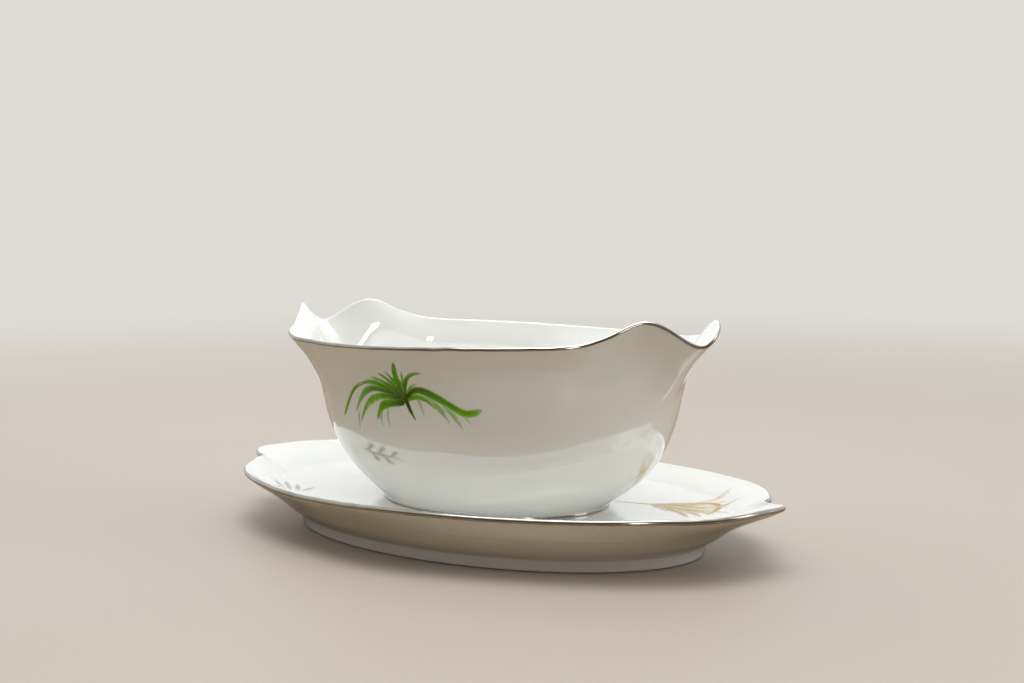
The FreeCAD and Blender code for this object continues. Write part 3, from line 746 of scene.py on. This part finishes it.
# on the boat's -Y side, and again on its +Y side
spray("boat_palm_spray", boat_tree, "boat", origin=(-9.4, -51.7, 54.9),
      normal=(0.0, -1.0, 0.0), right=(1, 0, 0), seed=5, fat=1.15, far_copy=True, strokes=[
    # faint underleaves
    ([(-24.4, -6.5), (-25.2, -11.0), (-24.9, -14.6)], (0.5, 1.1, 0.4), "mist ghost bare"),
    ([(-12.8, -4.2), (-13.6, -8.4), (-13.0, -12.4)], (0.6, 1.4, 0.5), "faint ghost bare"),
    ([(-9.8, -3.2), (-10.0, -7.6), (-9.0, -12.2)], (0.5, 1.2, 0.4), "ghost ghost bare"),
    ([(4.8, 1.8), (6.8, -1.8), (7.8, -6.6)], (0.5, 1.3, 0.4), "ghost ghost bare"),
    ([(16.0, 0.2), (20.6, -3.8), (24.6, -9.2)], (0.5, 1.5, 0.4), "ghost faint bare"),
    ([(20.0, -0.8), (24.2, -3.6), (27.6, -7.6)], (0.4, 1.2, 0.4), "ghost ghost bare"),
    ([(9.0, 2.2), (14.8, -1.6), (19.8, -7.8)], (0.6, 1.7, 0.4), "faint faint bare"),
    # the fan
    ([(-15.5, 5.6), (-24.2, 2.6), (-30.2, -3.4), (-34.2, -9.4)], (0.5, 1.0, 0.9),
     "faint leaf fresh"),
    ([(-0.8, 0.2), (-8.6, 4.2), (-15.8, 5.4), (-21.8, 3.9)], (0.9, 1.7, 0.3),
     "deep leaf faint"),
    ([(-0.9, 0.0), (-9.0, 2.7), (-17.2, 2.5), (-23.4, -2.2), (-26.8, -7.4)],
     (1.0, 1.9, 0.4), "deep leaf faint"),
    ([(-1.0, -0.4), (-8.0, 0.7), (-15.0, -0.6), (-20.9, -5.0), (-24.2, -10.8)],
     (1.1, 2.1, 0.4), "deep fresh faint"),
    ([(-0.7, -0.8), (-6.2, -1.6), (-12.0, -3.4), (-15.4, -9.0)], (1.2, 2.4, 0.4),
     "deep leaf fresh"),
    ([(-0.8, 0.4), (-5.6, 4.4), (-10.4, 6.6), (-14.2, 7.5)], (0.9, 1.4, 0.3),
     "deep leaf faint"),
    ([(-0.6, 0.5), (-4.0, 4.9), (-7.4, 7.8), (-10.6, 9.4)], (0.8, 1.3, 0.3),
     "deep leaf faint"),
    ([(-0.4, 0.6), (-2.6, 5.2), (-5.0, 8.4), (-6.9, 10.6)], (0.8, 1.2, 0.3),
     "leaf leaf faint"),
    ([(-0.1, 0.6), (-1.6, 5.2), (-2.2, 10.0), (-1.3, 14.0)], (1.0, 2.2, 0.4),
     "deep leaf leaf"),
    ([(0.1, 0.8), (0.3, 5.8), (0.9, 10.9)], (0.7, 1.1, 0.2), "leaf fresh faint"),
    ([(0.3, 0.8), (1.2, 6.0), (3.9, 9.2), (9.2, 10.4)], (0.8, 1.3, 0.3), "deep leaf faint"),
    ([(0.5, 0.5), (3.4, 4.8), (7.6, 7.0)], (0.6, 1.1, 0.2), "leaf fresh bare"),
    ([(0.5, -0.2), (4.6, 1.6), (9.4, 0.8), (14.0, -2.4)], (0.9, 1.5, 0.3),
     "leaf fresh faint"),
    ([(0.3, 0.5), (5.2, 3.9), (12.0, 2.8), (19.8, -0.6), (26.4, -2.9), (31.3, -1.2)],
     (1.3, 2.1, 1.5), "deep leaf fresh"),
    ([(0.0, 0.9), (1.1, -2.6), (3.9, -7.2)], (1.7, 1.3, 0.4), "deep deep leaf"),
])

# lower on the -Y side
spray("boat_seed_head", boat_tree, "boat", origin=(-23.4, -43.9, 30.6),
      normal=(-0.263, -0.851, -0.455), right=(0.955, -0.295, 0.0), seed=6, fat=1.8, strokes=[
    ([(-13.0, 1.0), (-5.0, -0.4), (2.0, -1.0), (9.8, -2.2)], (0.3, 0.5, 0.3),
     "mist mist bare"),
    ([(-10.5, 1.0), (-8.4, 2.6), (-6.0, 3.4)], (0.4, 1.0, 0.3), "mist mist bare"),
    ([(-8.0, 0.2), (-6.0, -1.8), (-3.6, -2.8)], (0.4, 1.0, 0.3), "mist mist bare"),
    ([(-4.6, 0.0), (-2.4, 1.8), (0.2, 2.4)], (0.4, 1.0, 0.3), "mist mist bare"),
    ([(-1.6, -0.6), (0.6, -2.4), (3.2, -3.4)], (0.4, 1.0, 0.3), "mist mist bare"),
    ([(2.0, -1.0), (4.0, 0.4), (6.6, 0.8)], (0.4, 0.9, 0.3), "mist mist bare"),
])

# low on the boat's +X end
spray("boat_end_blades", boat_tree, "boat", origin=(64.47, -4.15, 29.51),
      normal=(0.776, -0.016, -0.63), right=(0.021, 1.0, 0.0), seed=7, strokes=[
    ([(-2.0, 4.6), (-0.4, 0.4), (1.8, -4.4)], (0.4, 1.3, 0.3), "bare hay bare"),
    ([(0.4, 3.4), (1.4, -0.2), (3.6, -3.8)], (0.4, 1.1, 0.3), "bare hay bare"),
])

# towards the underplate's +X end
spray("plate_grass_spray", plate_tree, "underplate", origin=(55.3, 19.6, 12.9),
      normal=(0, 0, 1), right=(0.852, 0.524, 0.0), seed=8, fat=1.35, strokes=[
    ([(-12.6, 5.2), (-6.2, 2.2), (0.4, -0.4)], (0.5, 0.8, 0.9), "hay straw straw"),
    ([(0.0, -0.3), (12.0, -1.2), (22.6, -1.4), (30.2, 1.4)], (0.9, 2.0, 0.4),
     "straw straw hay"),
    ([(0.2, -0.5), (10.0, -3.2), (19.2, -5.0), (27.6, -5.6)], (0.9, 2.0, 0.4),
     "straw straw hay"),
    ([(0.4, -0.8), (9.2, -5.2), (18.2, -9.8), (27.4, -13.8)], (0.9, 2.2, 0.4),
     "ochre straw hay"),
    ([(0.5, -0.9), (10.6, -7.6), (19.8, -15.4), (26.2, -22.2)], (0.9, 2.0, 0.4),
     "straw hay hay"),
    ([(0.4, -1.0), (7.6, -6.8), (14.6, -13.4), (20.2, -20.8)], (0.9, 2.3, 0.4),
     "ochre straw straw"),
    ([(0.3, -1.2), (5.4, -7.8), (9.4, -15.6), (10.8, -23.8)], (0.9, 2.1, 0.4),
     "straw straw hay"),
    ([(0.2, -1.2), (3.0, -6.6), (4.9, -12.8)], (0.8, 1.6, 0.4), "straw hay hay"),
    ([(13.6, -2.2), (21.6, -4.4), (23.9, -8.8), (21.8, -15.2), (17.4, -21.6)],
     (0.7, 1.7, 0.4), "straw ochre straw"),
    ([(15.0, -0.9), (24.0, -0.6), (31.8, 4.6)], (0.5, 1.3, 0.3), "hay hay bare"),
    ([(19.0, -7.8), (26.0, -10.2), (32.0, -9.6)], (0.5, 1.4, 0.3), "hay straw bare"),
    ([(8.0, -10.6), (13.6, -17.4), (15.4, -24.6)], (0.6, 1.5, 0.3), "hay straw hay"),
])

# towards the underplate's -X end
spray("plate_pale_blades", plate_tree, "underplate", origin=(-77.2, -26.6, 13.4),
      normal=(0, 0, 1), right=(0.845, 0.52, 0.0), seed=9, fat=1.3, strokes=[
    ([(-6.4, 4.0), (-3.6, -2.4), (-0.4, -8.6)], (0.5, 1.5, 0.3), "mist grey mist"),
    ([(-2.4, 7.0), (-0.6, -1.0), (1.8, -9.2)], (0.5, 1.5, 0.3), "mist grey mist"),
    ([(2.2, 4.0), (3.2, -2.8), (4.4, -9.2)], (0.5, 1.4, 0.3), "mist grey mist"),
    ([(9.4, 0.6), (7.4, -4.0), (5.6, -8.6)], (0.5, 1.3, 0.3), "mist grey mist"),
])

# ======================================================================================
# Floor, room, lights and camera (metres)
# ======================================================================================
YAW = math.radians(30.91)           # the camera stands this far round from -Y towards +X
PITCH = math.radians(5.97)          # and looks down by this much
WALL_COLOUR = (0.735, 0.715, 0.675)
FLOOR_SIZE, FLOOR_Z = 60.0, -0.0002


def from_view(right, beyond, up):
    """Place or direction seen from the camera: to its right, beyond the object, up."""
    c, s = math.cos(YAW), math.sin(YAW)
    return (right * c - beyond * s, right * s + beyond * c, up)


def fade_between(tree, value, near, far, interpolation):
    return add_node(tree, "MapRange", {"From Min": near, "From Max": far, "Value": value},
                    interpolation_type=interpolation).outputs[0]


def floor_material():
    """Pale floor that melts into the wall colour far away, so that no horizon shows."""
    material, tree, output, bsdf = new_material("floor_pale")
    place = add_node(tree, "TexCoord").outputs["Object"]
    seen = ramp(tree, noise(tree, place, scale=3.0, detail=3.0),
                [(0.3, (0.455, 0.405, 0.350)), (0.7, (0.475, 0.425, 0.370))])
    # rays other than the camera's meet a darker, warmer floor: a stand-in the camera never sees,
    # which gives the object painted shade and darker painted reflections
    painted_shade_floor = ramp(tree, noise(tree, place, scale=9.0, detail=3.0),
                   [(0.3, (0.240, 0.172, 0.108)), (0.7, (0.285, 0.208, 0.135))])
    is_camera = add_node(tree, "LightPath").outputs["Is Camera Ray"]
    feed(tree, bsdf, {"Base Color": mix_colour(tree, is_camera, painted_shade_floor, seen),
                      "Roughness": 0.50, "Specular IOR Level": 0.25})
    distance = add_node(tree, "VectorMath", {0: place}, operation="LENGTH")
    far = fade_between(tree, distance.outputs["Value"], 0.28, 1.15, "SMOOTHERSTEP")
    # and beyond a line close behind the object the floor glows in the wall colour for all rays
    # but the camera's: a glowing floor patch, no lamp, standing in for a pale wall, which puts
    # painted reflections and painted light on the object
    beyond = add_node(tree, "VectorMath", {0: place, 1: from_view(0.0, 1.0, 0.0)},
                      operation="DOT_PRODUCT")
    behind = fade_between(tree, beyond.outputs["Value"], 0.205, 0.30, "SMOOTHSTEP")
    seen_fade = calc(tree, "MULTIPLY", far, is_camera)
    not_camera = calc(tree, "SUBTRACT", 1.0, is_camera)
    fade = calc(tree, "ADD", seen_fade, calc(tree, "MULTIPLY", behind, not_camera))
    # the glowing floor patch: an emission in the wall colour, no lamp, for painted reflections
    # and light
    wall = add_node(tree, "Emission", {"Color": WALL_COLOUR, "Strength": 1.0})
    mixed = add_node(tree, "MixShader", {0: fade, 1: bsdf.outputs[0], 2: wall.outputs[0]})
    feed(tree, output, {"Surface": mixed.outputs[0]})
    return material


def make_floor():
    mesh = bpy.data.meshes.new("floor")
    s = FLOOR_SIZE / 2
    mesh.from_pydata([(-s, -s, 0), (s, -s, 0), (s, s, 0), (-s, s, 0)], [], [(0, 1, 2, 3)])
    mesh.materials.append(floor_material())
    floor = link("floor", mesh)
    floor.location = (0, 0, FLOOR_Z)


def make_world():
    """Room that lights the object brightly from beyond and above, and dimly and warmly
    from the camera's side. The camera itself sees the plain wall colour."""
    world = bpy.data.worlds.new("studio")
    bpy.context.scene.world = world
    tree, output = empty_tree(world, "OutputWorld")
    seen = add_node(tree, "Background", {"Color": WALL_COLOUR, "Strength": 1.0})
    direction = add_node(tree, "TexCoord").outputs["Generated"]
    facing = add_node(tree, "VectorMath", {0: direction, 1: from_view(0.05, 0.84, 0.55)},
                      operation="DOT_PRODUCT")
    fac = calc(tree, "ADD", calc(tree, "MULTIPLY", facing.outputs["Value"], 0.5), 0.5)
    room = ramp(tree, fac, [(0.0, (0.070, 0.055, 0.038)), (0.36, (0.105, 0.086, 0.064)),
                            (0.53, (0.64, 0.63, 0.60)), (1.0, (0.95, 0.96, 0.96))], "EASE")
    lit = add_node(tree, "Background", {"Color": room, "Strength": 1.0})
    is_camera = add_node(tree, "LightPath").outputs["Is Camera Ray"]
    mixed = add_node(tree, "MixShader", {0: is_camera, 1: lit.outputs[0], 2: seen.outputs[0]})
    feed(tree, output, {"Surface": mixed.outputs[0]})


def area(name, place, aim_z, size, power, colour, size_y=None, glossy=True):
    """Rectangular light aimed at a point on the Z axis."""
    light = bpy.data.lights.new(name, "AREA")
    light.energy = power
    light.color = colour
    light.shape = "RECTANGLE"
    light.size = size
    light.size_y = size_y or size
    ob = link(name, light)
    ob.location = place
    ob.rotation_mode = "QUATERNION"
    ob.rotation_quaternion = (Vector((0, 0, aim_z)) - Vector(place)).to_track_quat("-Z", "Y")
    ob.visible_glossy = glossy


def make_lights():
    area("window", from_view(0.12, -1.15, 0.34), aim_z=0.07, size=0.14, size_y=0.22,
         power=1.1, colour=(1.0, 1.0, 0.98))
    area("side", from_view(1.15, -0.35, 0.55), aim_z=0.04, size=0.5, size_y=0.7,
         power=2.0, colour=(1.0, 0.99, 0.97))
    area("front", from_view(0.25, -0.85, 1.15), aim_z=0.04, size=0.6,
         power=1.7, colour=(1.0, 0.98, 0.94), glossy=False)
    area("top", from_view(0.0, 0.0, 1.25), aim_z=0.05, size=0.9,
         power=8.6, colour=(0.98, 1.0, 1.0))
    area("back", from_view(-0.6, 1.1, 0.85), aim_z=0.05, size=0.9,
         power=3.6, colour=(1.0, 1.0, 0.98), glossy=False)
    # a soft spot straight down into the bowl
    spot = bpy.data.lights.new("bowl", "SPOT")
    spot.energy = 13.0
    spot.spot_size = math.radians(6.4)
    spot.spot_blend = 0.6
    spot.shadow_soft_size = 0.02
    link("bowl", spot).location = (0, 0, 1.25)


def make_camera():
    camera = bpy.data.cameras.new("camera")
    camera.sensor_width = 36.0
    camera.lens = 50.34375
    camera.clip_start, camera.clip_end = 0.01, 50
    ob = link("camera", camera)
    ob.location = from_view(0.0065, -0.5318, 0.1277)
    look = Vector(from_view(0.0, math.cos(PITCH), -math.sin(PITCH)))
    ob.rotation_mode = "QUATERNION"
    ob.rotation_quaternion = look.to_track_quat("-Z", "Y")
    bpy.context.scene.camera = ob


make_floor()
make_world()
make_lights()
make_camera()
bpy.context.scene.view_settings.view_transform = "Standard"
bpy.context.scene.view_settings.look = "None"
